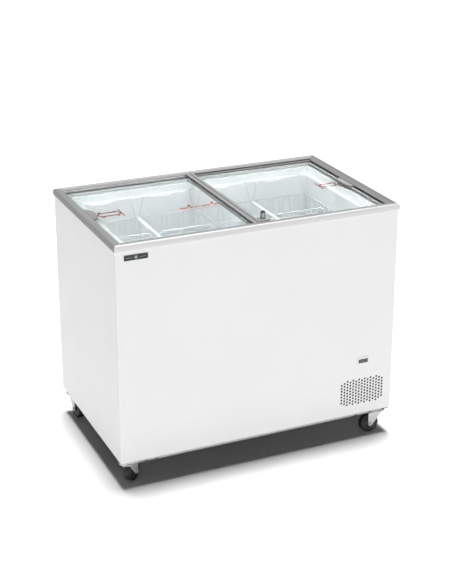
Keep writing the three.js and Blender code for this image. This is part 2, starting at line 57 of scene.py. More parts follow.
def make_camera():
    data = bpy.data.cameras.new("camera")
    data.sensor_width = SENSOR
    data.lens = LENS
    data.shift_y = SHIFT_UP
    data.clip_start, data.clip_end = 0.1, 100.0
    camera = bpy.data.objects.new("camera", data)
    camera.location = CAMERA_PLACE
    camera.rotation_euler = (math.radians(90 - CAMERA_DIP), 0, math.radians(-CAMERA_TURN))
    bpy.context.collection.objects.link(camera)
    bpy.context.scene.camera = camera


def soft_sun(name, heading, elevation, strength, spread):
    """A wide, far lamp. Heading is where it stands: 0 in front, 90 at the left."""
    data = bpy.data.lights.new(name, "SUN")
    data.energy = strength
    data.angle = math.radians(spread)
    lamp = bpy.data.objects.new(name, data)
    lamp.rotation_euler = (math.radians(90 - elevation), 0, math.radians(-heading))
    bpy.context.collection.objects.link(lamp)



def make_light():
    """A plain white backdrop, a little light from all round and two wide lamps."""
    world = bpy.data.worlds.new("studio")
    bpy.context.scene.world = world
    world.use_nodes = True
    nodes, links = world.node_tree.nodes, world.node_tree.links
    ambient, backdrop = nodes["Background"], nodes.new("ShaderNodeBackground")
    for background in (ambient, backdrop):
        background.inputs["Color"].default_value = (1, 1, 1, 1)
    ambient.inputs["Strength"].default_value = AMBIENT
    seen = nodes.new("ShaderNodeMixShader")
    links.new(nodes.new("ShaderNodeLightPath").outputs["Is Camera Ray"], seen.inputs["Fac"])
    links.new(ambient.outputs["Background"], seen.inputs[1])
    links.new(backdrop.outputs["Background"], seen.inputs[2])
    links.new(seen.outputs["Shader"], nodes["World Output"].inputs["Surface"])
    soft_sun("overhead", heading=203, elevation=85.0, strength=5.0, spread=17)
    soft_sun("fill", heading=9, elevation=4, strength=1.0, spread=26)
    bpy.context.scene.view_settings.view_transform = "Standard"


make_camera()
make_light()


# ---- materials ----

class Surface:
    """A procedural material: a Principled shader with noise driving colour, roughness and bump."""

    def __init__(self, name, **inputs):
        self.material = bpy.data.materials.new(name)
        self.material.use_nodes = True
        self.tree = self.material.node_tree
        self.shader = self.tree.nodes["Principled BSDF"]
        for key, value in inputs.items():
            self.shader.inputs[key.replace("_", " ")].default_value = value
        self.coordinates = self.node("ShaderNodeTexCoord").outputs["Object"]

    def node(self, kind, **settings):
        made = self.tree.nodes.new(kind)
        for key, value in settings.items():
            setattr(made, key, value)
        return made

    def link(self, source, target):
        self.tree.links.new(source, target)

    def stretched(self, scale):
        mapping = self.node("ShaderNodeMapping")
        mapping.inputs["Scale"].default_value = scale
        self.link(self.coordinates, mapping.inputs["Vector"])
        return mapping.outputs["Vector"]

    def noise(self, scale, detail=3.0, stretch=None):
        made = self.node("ShaderNodeTexNoise")
        made.inputs["Scale"].default_value = scale
        made.inputs["Detail"].default_value = detail
        vector = self.stretched(stretch) if stretch else self.coordinates
        self.link(vector, made.inputs["Vector"])
        return made.outputs["Fac"]

    def cells(self, scale):
        made = self.node("ShaderNodeTexVoronoi")
        made.inputs["Scale"].default_value = scale
        self.link(self.coordinates, made.inputs["Vector"])
        return made.outputs["Color"]

    def colour(self, factor, low, high, spread=(0.35, 0.65)):
        ramp = self.node("ShaderNodeValToRGB")
        ramp.color_ramp.elements[0].position = spread[0]
        ramp.color_ramp.elements[1].position = spread[1]
        ramp.color_ramp.elements[0].color = (*low, 1)
        ramp.color_ramp.elements[1].color = (*high, 1)
        self.link(factor, ramp.inputs["Fac"])
        self.link(ramp.outputs["Color"], self.shader.inputs["Base Color"])
        return self

    def roughness(self, factor, low, high):
        span = self.node("ShaderNodeMapRange")
        span.inputs["From Min"].default_value = 0.3
        span.inputs["From Max"].default_value = 0.7
        span.inputs["To Min"].default_value = low
        span.inputs["To Max"].default_value = high
        self.link(factor, span.inputs["Value"])
        self.link(span.outputs["Result"], self.shader.inputs["Roughness"])
        return self

    def bump(self, factor, strength, distance):
        made = self.node("ShaderNodeBump")
        made.inputs["Strength"].default_value = strength
        made.inputs["Distance"].default_value = distance
        self.link(factor, made.inputs["Height"])
        self.link(made.outputs["Normal"], self.shader.inputs["Normal"])
        return self


def sprayed(surface, rough, peel):
    """Ends a coat with its uneven sheen and fine orange peel."""
    surface.roughness(surface.noise(9.0), rough, rough + 0.06)
    surface.bump(surface.noise(420.0, 2.0), peel, 0.0001)
    return surface.material


def painted(name, low, high, rough, peel=0.25):
    surface = Surface(name)
    surface.colour(surface.noise(3.0), low, high)
    return sprayed(surface, rough, peel)


def shaded_on_top(name, side, top, rough):
    """A coating with painted shade: the faces that look up get a darker colour than the sides, holding
    back the overhead light they catch.
    """
    unevenness, upward_shade_span = 0.06, (0.08, 0.5)
    surface = Surface(name)
    facing = surface.node("ShaderNodeSeparateXYZ")
    surface.link(surface.node("ShaderNodeTexCoord").outputs["Normal"], facing.inputs["Vector"])
    tone_and_shade = surface.node("ShaderNodeMath", operation="MULTIPLY_ADD")
    surface.link(surface.noise(3.0), tone_and_shade.inputs[0])
    tone_and_shade.inputs[1].default_value = unevenness
    surface.link(facing.outputs["Z"], tone_and_shade.inputs[2])
    # Random tone plus painted shade that darkens the faces that look up.
    surface.colour(tone_and_shade.outputs["Value"], side, top, upward_shade_span)
    return sprayed(surface, rough, 0.15)


def brushed(name, low, high, metallic, rough, along):
    """Satin anodised metal with drawing lines along one axis."""
    across_lines, along_lines = 260.0, 3.0
    surface = Surface(name, Metallic=metallic)
    stretch = [across_lines] * 3
    stretch[along] = along_lines
    lines = surface.noise(1.0, 4.0, stretch)
    surface.colour(lines, low, high)
    surface.roughness(surface.noise(6.0), rough, rough + 0.08)
    surface.bump(lines, 0.12, 0.0002)
    return surface.material


def metal(name, low, high, rough, metallic=1.0):
    surface = Surface(name, Metallic=metallic)
    surface.colour(surface.noise(30.0), low, high)
    surface.roughness(surface.noise(60.0), rough, rough + 0.08)
    surface.bump(surface.noise(180.0), 0.05, 0.0002)
    return surface.material


def spangled(name, low, high):
    """Galvanised sheet: crystal patches of slightly different grey."""
    surface = Surface(name, Metallic=0.4)
    split = surface.node("ShaderNodeSeparateColor")
    surface.link(surface.cells(90.0), split.inputs["Color"])
    surface.colour(split.outputs["Red"], low, high, (0.0, 1.0))
    surface.roughness(split.outputs["Green"], 0.38, 0.5)
    surface.bump(surface.noise(200.0), 0.08, 0.0002)
    return surface.material


def moulded(name, low, high, rough, texture=700.0):
    surface = Surface(name)
    surface.colour(surface.noise(20.0), low, high)
    surface.roughness(surface.noise(40.0), rough, rough + 0.07)
    surface.bump(surface.noise(texture, 2.0), 0.15, 0.0001)
    return surface.material


def clear_glass(name, tint):
    """Float glass that lets the lamps through to what is behind it."""
    variation, lamp_tint = 0.01, (0.975, 0.985, 0.985, 1)
    surface = Surface(name, Roughness=0.0, IOR=1.45, Transmission_Weight=1.0)
    surface.colour(surface.noise(0.8), tint, tuple(min(1, c + variation) for c in tint))
    open_to_lamps = surface.node("ShaderNodeBsdfTransparent")
    open_to_lamps.inputs["Color"].default_value = lamp_tint
    path = surface.node("ShaderNodeLightPath")
    mix = surface.node("ShaderNodeMixShader")
    output = surface.tree.nodes["Material Output"]
    surface.link(path.outputs["Is Shadow Ray"], mix.inputs["Fac"])
    surface.link(surface.shader.outputs["BSDF"], mix.inputs[1])
    surface.link(open_to_lamps.outputs["BSDF"], mix.inputs[2])
    surface.link(mix.outputs["Shader"], output.inputs["Surface"])
    return surface.material


WHITE = painted("white_coat", (0.815, 0.815, 0.815), (0.835, 0.835, 0.835), 0.36)
# The liner's upward faces, the ledge and the floor, are painted darker: painted shade.
LINER = shaded_on_top("liner_coat", (0.96, 0.972, 0.972), (0.60, 0.645, 0.65), 0.40)
# A brighter copy of the anodised colour for the rails' faces that look to the front: painted light.
LIT_FACES_X = brushed("anodised_painted_light", (0.62, 0.62, 0.62), (0.67, 0.67, 0.67), 0.15, 0.40, 0)
ANODISED_X = brushed("anodised_along_x", (0.25, 0.25, 0.25), (0.29, 0.29, 0.29), 0.12, 0.48, 0)
ANODISED_Y = brushed("anodised_along_y", (0.225, 0.225, 0.225), (0.26, 0.26, 0.26), 0.10, 0.50, 1)
ANODISED_BAR = brushed("anodised_bar", (0.29, 0.29, 0.29), (0.33, 0.33, 0.33), 0.12, 0.46, 1)
ZINC = metal("bright_zinc", (0.54, 0.55, 0.55), (0.62, 0.63, 0.63), 0.34, metallic=0.35)
CHROME = metal("chrome", (0.26, 0.255, 0.25), (0.32, 0.315, 0.31), 0.20)
RACEWAY = metal("raceway_steel", (0.22, 0.22, 0.23), (0.34, 0.34, 0.35), 0.34)
GALVANISED = spangled("galvanised", (0.50, 0.52, 0.52), (0.66, 0.68, 0.68))
PRIMED = painted("grey_primer", (0.055, 0.056, 0.058), (0.085, 0.086, 0.088), 0.50)
# The wires' upward faces are painted darker: painted shade.
WIRE = shaded_on_top("dipped_wire", (0.95, 0.965, 0.965), (0.46, 0.50, 0.51), 0.42)
GREY = moulded("grey_moulding", (0.20, 0.20, 0.20), (0.24, 0.24, 0.24), 0.46)
MID_GREY = moulded("mid_grey_moulding", (0.30, 0.30, 0.30), (0.34, 0.34, 0.34), 0.46)
LIGHT_GREY = moulded("light_grey_moulding", (0.55, 0.56, 0.56), (0.60, 0.61, 0.61), 0.42)
WHITE_PLASTIC = moulded("white_moulding", (0.82, 0.82, 0.82), (0.85, 0.85, 0.85), 0.34)
TRIM = moulded("trim_moulding", (0.20, 0.225, 0.22), (0.24, 0.265, 0.26), 0.5)
# A dark colour for the upward faces of the rails' lower-track lips under the glass: painted shade.
LIP_SHADE = moulded("track_lip_shade", (0.12, 0.13, 0.13), (0.15, 0.16, 0.16), 0.5)
BLACK = moulded("black_moulding", (0.012, 0.012, 0.013), (0.022, 0.022, 0.023), 0.30)
DISPLAY = moulded("display_lens", (0.075, 0.076, 0.078), (0.095, 0.096, 0.098), 0.16, 200.0)
TREAD = moulded("tread_rubber", (0.010, 0.010, 0.011), (0.022, 0.022, 0.023), 0.48, 500.0)
HUB = moulded("wheel_hub", (0.020, 0.020, 0.021), (0.034, 0.034, 0.035), 0.38)
BLACK_PAINT = painted("black_paint", (0.015, 0.015, 0.016), (0.024, 0.024, 0.025), 0.40)
COPPER = metal("copper", (0.72, 0.38, 0.24), (0.80, 0.46, 0.30), 0.28)
FOAM = moulded("rigid_foam", (0.80, 0.70, 0.44), (0.88, 0.79, 0.54), 0.85, 120.0)
GLASS = clear_glass("float_glass", (0.982, 0.995, 0.995))
RED_PRINT = moulded("red_print", (0.78, 0.05, 0.03), (0.84, 0.08, 0.05), 0.5, 900.0)
BROWN_PRINT = moulded("brown_print", (0.16, 0.03, 0.02), (0.21, 0.045, 0.03), 0.5, 900.0)
EMBLEM = metal("emblem_ink", (0.62, 0.74, 0.72), (0.72, 0.82, 0.80), 0.35)
FLOOR = painted("floor_paper", (0.90, 0.90, 0.90), (0.91, 0.91, 0.91), 0.75, 0.05)


# ---- mesh building ----

FINE_BEVEL, BEVEL = 0.0002, 0.0004


def dress(piece, material, body, replaces=()):
    """Gives a piece its material, its body and the CAD nodes it stands for."""
    piece.data.materials.clear()
    piece.data.materials.append(material)
    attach(piece, body)
    if replaces:
        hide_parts(*replaces)
    return piece


def link(name, mesh):
    piece = bpy.data.objects.new(name, mesh)
    bpy.context.collection.objects.link(piece)
    return piece


def new_mesh(name, verts, faces):
    mesh = bpy.data.meshes.new(name)
    mesh.from_pydata(verts, [], faces)
    return mesh


def moved(mesh, x=0, y=0, z=0):
    mesh.transform(Matrix.Translation((x, y, z)))
    return mesh


def smooth(mesh, angle=35):
    mesh.shade_smooth()
    mesh.set_sharp_from_angle(angle=math.radians(angle))
    return mesh


def outward(mesh):
    """Turns every face to look out of the closed body."""
    shell = bmesh.new()
    shell.from_mesh(mesh)
    bmesh.ops.recalc_face_normals(shell, faces=shell.faces)
    shell.to_mesh(mesh)
    shell.free()


def joined(name, meshes, angle=35):
    """One mesh made of several, which are used up."""
    verts, faces = [], []
    for mesh in meshes:
        start = len(verts)
        verts += [tuple(v.co) for v in mesh.vertices]
        faces += [tuple(start + i for i in f.vertices) for f in mesh.polygons]
        bpy.data.meshes.remove(mesh)
    return smooth(new_mesh(name, verts, faces), angle)


def prism(bottom, top):
    """Vertices and faces of the body between two outlines with equally many corners."""
    count = len(bottom)
    faces = [tuple(reversed(range(count))), tuple(range(count, 2 * count))]
    for k in range(count):
        n = (k + 1) % count
        faces.append((k, n, count + n, count + k))
    return [*bottom, *top], faces


def ring_mesh(name, profile, segments=48):
    """A closed (radius, height) loop turned about Z."""
    count = len(profile)
    verts, faces = [], []
    for i in range(segments):
        a = 2 * math.pi * i / segments
        verts += [(r * math.cos(a), r * math.sin(a), z) for r, z in profile]
        j = (i + 1) % segments
        for k in range(count):
            n = (k + 1) % count
            faces.append((i * count + k, j * count + k, j * count + n, i * count + n))
    return smooth(new_mesh(name, verts, faces))


def fillet(points, radius, steps=5, loop=False):
    """The polyline with each bend rounded to the radius."""
    points = [Vector(p) for p in points]
    count = len(points)
    made = []
    for i, p in enumerate(points):
        if not loop and i in (0, count - 1):
            made.append(p)
            continue
        before = points[i - 1] - p
        after = points[(i + 1) % count] - p
        turn = before.angle(after)
        if turn > math.radians(178):
            made.append(p)
            continue
        reach = min(radius / math.tan(turn / 2), before.length * 0.45, after.length * 0.45)
        a, b = p + before.normalized() * reach, p + after.normalized() * reach
        for k in range(steps + 1):
            t = k / steps
            made.append(a * (1 - t) ** 2 + p * 2 * t * (1 - t) + b * t ** 2)
    return made


def add_spline(curve, points, loop=True):
    spline = curve.splines.new("POLY")
    spline.points.add(len(points) - 1)
    for knot, p in zip(spline.points, points):
        knot.co = (*p, 1)
    spline.use_cyclic_u = loop


def mesh_of(curve):
    """The curve as a mesh; the curve itself is dropped."""
    holder = bpy.data.objects.new(curve.name, curve)
    mesh = bpy.data.meshes.new_from_object(holder)
    bpy.data.objects.remove(holder)
    bpy.data.curves.remove(curve)
    return mesh


def wire_mesh(name, strands):
    """One mesh of round wires. A strand is (points, radius, loop)."""
    meshes = []
    for radius in sorted({s[1] for s in strands}):
        curve = bpy.data.curves.new(name, "CURVE")
        curve.dimensions = "3D"
        curve.bevel_depth = radius
        curve.bevel_resolution = 2
        curve.use_fill_caps = True
        for points, own_radius, loop in strands:
            if own_radius == radius:
                add_spline(curve, points, loop)
        meshes.append(mesh_of(curve))
    return joined(name, meshes, 60)


def plate_mesh(name, outlines, thickness, bevel=0.0):
    """A flat plate in the XY plane, z from 0 to thickness; the first outline is its edge."""
    curve = bpy.data.curves.new(name, "CURVE")
    curve.dimensions = "2D"
    curve.fill_mode = "BOTH"
    curve.extrude = thickness / 2 - bevel
    curve.bevel_depth = bevel
    curve.bevel_resolution = 2
    curve.offset = -bevel
    for outline in outlines:
        add_spline(curve, [(x, y, 0) for x, y in outline])
    return smooth(moved(mesh_of(curve), z=thickness / 2), 30)


def scaled(points):
    """Millimetres to metres."""
    return [(a * MM, b * MM) for a, b in points]


def circle(x, y, radius, count):
    turns = [2 * math.pi * k / count for k in range(count)]
    return [(x + radius * math.cos(a), y + radius * math.sin(a)) for a in turns]


def eased(corners, radius, steps=4):
    """A closed flat outline with its corners rounded."""
    return [(p.x, p.y) for p in fillet([(*c, 0) for c in corners], radius, steps, loop=True)]


def box_outline(x0, x1, y0, y1, radius=0.0):
    corners = [(x0, y0), (x1, y0), (x1, y1), (x0, y1)]
    return eased(corners, radius) if radius else corners


def facing_front(mesh, y):
    """Stands a plate up at y: its own y becomes height and its thickness grows towards -Y."""
    upright = Matrix(((1, 0, 0, 0), (0, 0, -1, 0), (0, 1, 0, 0), (0, 0, 0, 1)))
    mesh.transform(Matrix.Translation((0, y, 0)) @ upright)
    return mesh


def repaint(piece, material, chosen):
    """Gives the faces that pass a test a further material."""
    mesh = piece.data
    mesh.materials.append(material)
    for face in mesh.polygons:
        if chosen(face):
            face.material_index = len(mesh.materials) - 1


def bevel_cad(width_mm, *nodes):
    for node in nodes:
        modifier = NODES[node].modifiers.new("edges", "BEVEL")
        modifier.width = width_mm * MM
        modifier.segments = 2
        modifier.limit_method = "ANGLE"
        modifier.angle_limit = math.radians(30)
        modifier.harden_normals = True


def paint_cad(material, *nodes):
    for node in nodes:
        mesh = NODES[node].data
        mesh.materials.clear()
        mesh.materials.append(material)


# ---- floor ----

FLOOR_HALF = 12
floor = link("floor", new_mesh("floor", [
    (-FLOOR_HALF, -FLOOR_HALF, 0), (FLOOR_HALF, -FLOOR_HALF, 0),
    (FLOOR_HALF, FLOOR_HALF, 0), (-FLOOR_HALF, FLOOR_HALF, 0),
], [(0, 1, 2, 3)]))
floor.data.materials.append(FLOOR)


# ---- top frame ----

HALF_X, HALF_Y = 0.523, 0.325
TRACK_TOP = 0.8635  # the lips of the lower track lie below this height

# A rail's section in millimetres as (distance in from the outer face, height): the outer face with its
# eased corner, the top, then the tracks and the seat. The front and left rails are flat over the glass
# edge, the rear rail steps down to a sloped cover, and the right rail slopes to the lower track.
RAIL_FACE = [(0, 861), (0, 873.5), (0.7, 877.6), (2.6, 880.8), (5.4, 882.5), (8.4, 883)]
RAIL_TOPS = {
    "front_rail": [(22, 883), (23, 881), (26, 880), (26, 878), (16, 878), (16, 872.3)],
    "left_rail": [(26, 883), (26, 878), (16, 878), (16, 872.3)],
    "rear_rail": [(14, 883), (14.6, 881.2), (27, 878.4), (27, 877.7), (16, 877.7), (16, 872.3)],
    "right_rail": [(14, 883), (14.8, 881.2), (29.4, 873.4)],
}
RAIL_TRACKS = [
    (30, 872.3), (30, 868), (20, 868), (20, 862.3), (42, 862.3), (42, 853), (38, 853), (38, 861),
]


def rail(name, sign_x, sign_y, material):
    """One mitred rail; the sign that is not 0 says which side it is on."""
    seam, corner_mm, steps = 0.0001, 0.5, 3
    section = scaled(eased(RAIL_FACE + RAIL_TOPS[name] + RAIL_TRACKS, corner_mm, steps))
    ends = []
    for end in (-1, 1):
        if sign_y:
            ends.append([
                (end * (HALF_X - d - seam), sign_y * (HALF_Y - d), z) for d, z in section
            ])
        else:
            ends.append([
                (sign_x * (HALF_X - d), end * (HALF_Y - d - seam), z) for d, z in section
            ])
    mesh = new_mesh(name, *prism(*ends))
    outward(mesh)
    smooth(mesh, 30)
    piece = dress(link(name + "_section", mesh), material, "cabinet", [name])
    # The upward faces below the track top are painted darker: painted shade.
    repaint(piece, LIP_SHADE, lambda face: face.normal.z > 0.5 and face.center.z < TRACK_TOP)
    return piece


def long_rail(name, sign_y):
    """A rail along X; its faces that look to the front get a brighter copy of the anodised colour than
    the top: painted light.
    """
    piece = rail(name, 0, sign_y, ANODISED_X)
    repaint(piece, LIT_FACES_X, lambda face: face.normal.y < -0.3)


def breaker_trim():
    """The moulded trim that covers the liner's flange, all round the well."""
    thickness, seat = 0.0008, 0.8528
    outer = box_outline(-0.4808, 0.4808, -0.2828, 0.2828, 0.004)
    inner = box_outline(-0.4590, 0.4725, -0.2745, 0.2745, 0.006)
    mesh = moved(plate_mesh("breaker_trim", [outer, inner], thickness, FINE_BEVEL), z=seat)
    dress(link("breaker_trim", mesh), TRIM, "cabinet")


def groove_shade_strips():
    """Black strips above the right lid's glass, either side of its grip, that paint the groove's dark
    shade line.
    """
    inner, outer, low, high = HALF_X - 0.0317, HALF_X - 0.0301, 0.8676, 0.8702
    for number, (y0, y1) in enumerate(((-0.285, -0.062), (0.062, 0.285)), 1):
        strip = box_outline(inner, outer, y0, y1)
        mesh = moved(plate_mesh("groove_shade_strip", [strip], high - low, FINE_BEVEL), z=low)
        dress(link(f"groove_shade_strip_{number}", mesh), BLACK, "cabinet")


long_rail("front_rail", -1)
long_rail("rear_rail", 1)
rail("left_rail", -1, 0, ANODISED_Y)
rail("right_rail", 1, 0, ANODISED_Y)
groove_shade_strips()
breaker_trim()


# ---- shell ----

DISPLAY_HOLE = (0.382, 0.420, 0.2995, 0.3155)  # here and below: left, right, bottom, top
# The box of the black sheet behind the vent holes, which paints them dark: painted shade.
VENT_SHADE_BOX = (0.3115, 0.4885, 0.1365, 0.2415)
FLANGE_BOLTS = (-0.430, -0.392, 0.378, 0.436, 0.494)
VENT_COUNTS = (7, 8, 9, 8, 9, 8, 9, 8, 9, 8, 9, 8, 9, 8, 7)
VENT_X, VENT_Z, VENT_PITCH, VENT_RISE, VENT_RADIUS = 318.1, 189, 11.7, 11.6, 4.1  # millimetres


def vent_holes():
    for column, count in enumerate(VENT_COUNTS):
        for row in range(count):
            x = VENT_X + column * VENT_PITCH
            z = VENT_Z + (row - (count - 1) / 2) * VENT_RISE
            yield circle(x * MM, z * MM, VENT_RADIUS * MM, 20)


def front_panel():
    low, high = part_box("front_panel")
    edge = box_outline(low.x, high.x, low.z, high.z)
    outlines = [edge, box_outline(*DISPLAY_HOLE), *vent_holes()]
    mesh = facing_front(plate_mesh("front_sheet", outlines, high.y - low.y), high.y)
    dress(link("front_sheet", mesh), WHITE, "cabinet", ["front_panel"])


def vent_shade_sheet():
    """A black sheet lying against the back of the perforations: painted shade that makes the holes look
    dark.
    """
    thickness, gap = 0.0002, 0.00025
    shade_sheet = plate_mesh("vent_shade_sheet", [box_outline(*VENT_SHADE_BOX)], thickness)
    facing_front(shade_sheet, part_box("front_panel")[1].y + gap)
    dress(link("vent_shade_sheet", shade_sheet), BLACK, "cabinet")


def base_flange():
    """The base plate's folded front edge, notched below for the castor bolts."""
    low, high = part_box("base_plate")
    left, right, bottom, top = -0.5165, 0.505, low.z + 0.0002, high.z - 0.0013
    half, depth = 0.0045, 0.0042
    thickness, behind_face = 0.0012, 0.0016
    edge = [(left, bottom)]
    for x in FLANGE_BOLTS:
        edge += [(x - half, bottom), (x - half, bottom + depth)]
        edge += [(x + half, bottom + depth), (x + half, bottom)]
    edge += [(right, bottom), (right, top), (left, top)]
    mesh = plate_mesh("base_flange", [edge], thickness)
    facing_front(mesh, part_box("front_panel")[0].y + behind_face)
    dress(link("base_flange", mesh), WHITE_PLASTIC, "cabinet")


front_panel()
vent_shade_sheet()
base_flange()
paint_cad(WHITE, "left_panel", "right_panel", "rear_panel")
paint_cad(PRIMED, "base_plate")
paint_cad(LINER, "inner_liner")
paint_cad(FOAM, *(f"foam_{side}" for side in ("floor", "front", "rear", "left", "right")))
paint_cad(COPPER, "evaporator_coil", "filter_drier")
paint_cad(BLACK_PAINT, "compressor", "condenser", "fan_shroud")
paint_cad(LIGHT_GREY, "fan_blade", "drain_tube", "drain_plug", "thermostat_body", "lock_strike")
paint_cad(BLACK, "thermostat_knob", "cable_gland")
paint_cad(GLASS, "left_lid_glass", "right_lid_glass")
paint_cad(ANODISED_BAR, "left_lid_bar", "right_lid_profile")
paint_cad(CHROME, "lock_plug", "lock_cam")
bevel_cad(0.5, "compressor", "condenser", "thermostat_knob", "cable_gland", "drain_plug", "base_plate")
bevel_cad(0.4, "left_lid_glass", "right_lid_glass", "left_lid_bar", "right_lid_profile", "lock_strike")
bevel_cad(0.5, "inner_liner")


# ---- baskets ----

PITCH = 0.229


def handle_strand(end):
    """The trapezoid handle: up from the rim, over the ledge, its top wire bent down for the fingers."""
    wire, bend = 0.0024, 0.009
    x, y, top, rim, dip, lean = 0.091, 0.267, 0.8285, 0.751, 0.0095, 0.0125
    crest = [(-0.089, 0), (-0.075, 0), (-0.055, dip), (0.006, dip), (0.040, 0), (0.089, 0)]
    whole = [(-0.108, 0.253, rim), (-x, 0.254, top)]
    whole += [(px, y - lean * drop / dip, top - drop) for px, drop in crest]
    whole += [(x, 0.254, top), (0.108, 0.253, rim)]
    return fillet([(px, end * py, pz) for px, py, pz in whole], bend), wire, False


def basket_strands():
    """Two heavy hoops, a lighter one between them, the mesh of bent wires, corner posts and handles."""
    x, y, low, middle, rim, bend = 0.111, 0.253, 0.592, 0.672, 0.751, 0.006
    heavy, post, thin, light = 0.0022, 0.002, 0.0015, 0.0014
    pitch_x, pitch_y, corner_inset = 0.0222, 0.0253, 0.0018
    strands = []
    for z, radius in ((rim, heavy), (low, heavy), (middle, light)):
        loop = [(-x, -y, z), (x, -y, z), (x, y, z), (-x, y, z)]
        strands.append((fillet(loop, bend, 4, loop=True), radius, True))
    for px in (i * pitch_x for i in range(-4, 5)):
        path = [(px, -y, rim), (px, -y, low), (px, y, low), (px, y, rim)]
        strands.append((fillet(path, bend, 4), thin, False))
    for py in (i * pitch_y for i in range(-9, 10)):
        path = [(-x, py, rim), (-x, py, low - thin), (x, py, low - thin), (x, py, rim)]
        strands.append((fillet(path, bend, 4), thin, False))
    for sx in (-1, 1):
        for sy in (-1, 1):
            cx, cy = sx * (x - corner_inset), sy * (y - corner_inset)
            strands.append(([(cx, cy, low), (cx, cy, rim)], post, False))
    return strands + [handle_strand(-1), handle_strand(1)]


def divider_strands():
    """A bent hoop with a bar near its top, a bar near its foot and seven uprights."""
    x, y, low, top = 0.104, 0.085, 0.597, 0.749
    hoop, bar, upright = 0.002, 0.0016, 0.0013
    foot, shoulder = low + 0.004, top - 0.013
    strands = [(fillet([(-x, y, low), (-x, y, top), (x, y, top), (x, y, low)], 0.022, 6), hoop, False)]
    strands.append(([(-x + 0.002, y, shoulder), (x - 0.002, y, shoulder)], bar, False))
    strands.append(([(-x, y, foot), (x, y, foot)], bar, False))
    for px in (-0.078, -0.052, -0.026, 0.0, 0.026, 0.052, 0.078):
        strands.append(([(px, y, foot), (px, y, top)], upright, False))
    return strands


def baskets():
    wires = {
        "basket": wire_mesh("basket_wire", basket_strands()),
        "divider": wire_mesh("divider_wire", divider_strands()),
    }
    for number in range(1, 5):
        for kind, mesh in wires.items():
            node = f"{kind}_{number}"
            own = moved(mesh.copy(), x=(number - 2.5) * PITCH)
            dress(link(f"{kind}_wires_{number}", own), WIRE, node, [node])


baskets()


# ---- front fittings ----

FRAME_HOLE = (0.3822, 0.4198, 0.2997, 0.3153)


def front_plate(name, node, radius, material, holes=(), bevel=0.0003, sunk=0.0):
    """A plate over the box of one CAD node, facing the front; sunk makes it that much thinner."""
    low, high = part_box(node)
    outline = box_outline(low.x, high.x, low.z, high.z, radius)
    mesh = plate_mesh(name, [outline, *holes], high.y - low.y - sunk, bevel)
    dress(link(name, facing_front(mesh, high.y)), material, "cabinet", [node])


def snowflake(x, y, z):
    """A plain six-armed snow mark between two short bars."""
    arm, barb, barb_at, bar, bar_at = 0.0062, 0.0022, 0.0038, 0.020, 0.013
    thick, thin, sunk = 0.0005, 0.0004, 0.0003
    origin = Vector((x, y + sunk, z))
    strands = []
    for k in range(6):
        a = math.radians(60 * k + 30)
        out = Vector((math.cos(a), 0, math.sin(a)))
        strands.append(([origin, origin + out * arm], thick, False))
        for side in (-1, 1):
            b = a + side * math.radians(55)
            root = origin + out * barb_at
            tip = root + Vector((math.cos(b), 0, math.sin(b))) * barb
            strands.append(([root, tip], thin, False))
    for side in (-1, 1):
        start = origin + Vector((side * bar_at, 0, 0))
        strands.append(([start, start + Vector((side * bar, 0, 0))], thin, False))
    piece = link("badge_snow_mark", wire_mesh("badge_snow_mark", strands))
    dress(piece, EMBLEM, "cabinet")


def fittings():
    front_plate("display_frame", "display_bezel", 0.002, WHITE_PLASTIC,
                holes=[box_outline(*FRAME_HOLE)], bevel=BEVEL)
    front_plate("display_lens", "display_window", 0.0006, DISPLAY)
    front_plate("badge", "badge_plate", 0.0008, BLACK, sunk=0.0001)
    low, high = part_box("badge_plate")
    snowflake((low.x + high.x) / 2, low.y, (low.z + high.z) / 2)


fittings()


# ---- printed marks, measured in millimetres ----

SHAFT_STROKE, HEAD_STROKE, BAR_STROKE, LINE_STROKE = 7.5, 6.0, 4.8, 4.6


def flat_strips(name, outlines, height, thickness, material, body):
    """Thin printed shapes lying flat; an outline is a list of (x, y) corners."""
    verts, faces = [], []
    for corners in outlines:
        area = sum(a[0] * b[1] - b[0] * a[1] for a, b in zip(corners, corners[1:] + corners[:1]))
        corners = scaled(corners[::-1] if area < 0 else corners)
        levels = [[(x, y, z) for x, y in corners] for z in (height, height + thickness)]
        own_verts, own_faces = prism(*levels)
        faces += [tuple(len(verts) + i for i in face) for face in own_faces]
        verts += own_verts
    return dress(link(name, new_mesh(name, verts, faces)), material, body)


def stroke(a, b, width):
    """A straight printed stroke from a to b as four corners."""
    d = Vector((b[0] - a[0], b[1] - a[1]))
    n = Vector((-d.y, d.x)).normalized() * width / 2
    return [(a[0] + n.x, a[1] + n.y), (b[0] + n.x, b[1] + n.y),
            (b[0] - n.x, b[1] - n.y), (a[0] - n.x, a[1] - n.y)]


def outlined_arrow(x0, x1, y, half, head, bar_left, bar_right):
    """A double-headed outline arrow along X with end bars."""
    shaft_half, shaft_inset, bar_gap = half * 0.55, head * 0.7, 3
    strokes = []
    for sign in (-1, 1):
        side = y + sign * shaft_half
        strokes.append(stroke((x0 + shaft_inset, side), (x1 - shaft_inset, side), SHAFT_STROKE))
        for tip, back in ((x0, x0 + head), (x1, x1 - head)):
            strokes.append(stroke((tip, y), (back, y + sign * half), HEAD_STROKE))
    for bar, x in ((bar_left, x0 - bar_gap), (bar_right, x1 + bar_gap)):
        if bar:
            strokes.append(stroke((x, y - bar), (x, y + bar), BAR_STROKE))
    return strokes


def print_arrow(side, strokes):
    ink = 0.00015
    glass_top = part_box(f"{side}_lid_glass")[1].z
    flat_strips(f"{side}_arrow", strokes, glass_top, ink, BROWN_PRINT, f"{side}_lid")


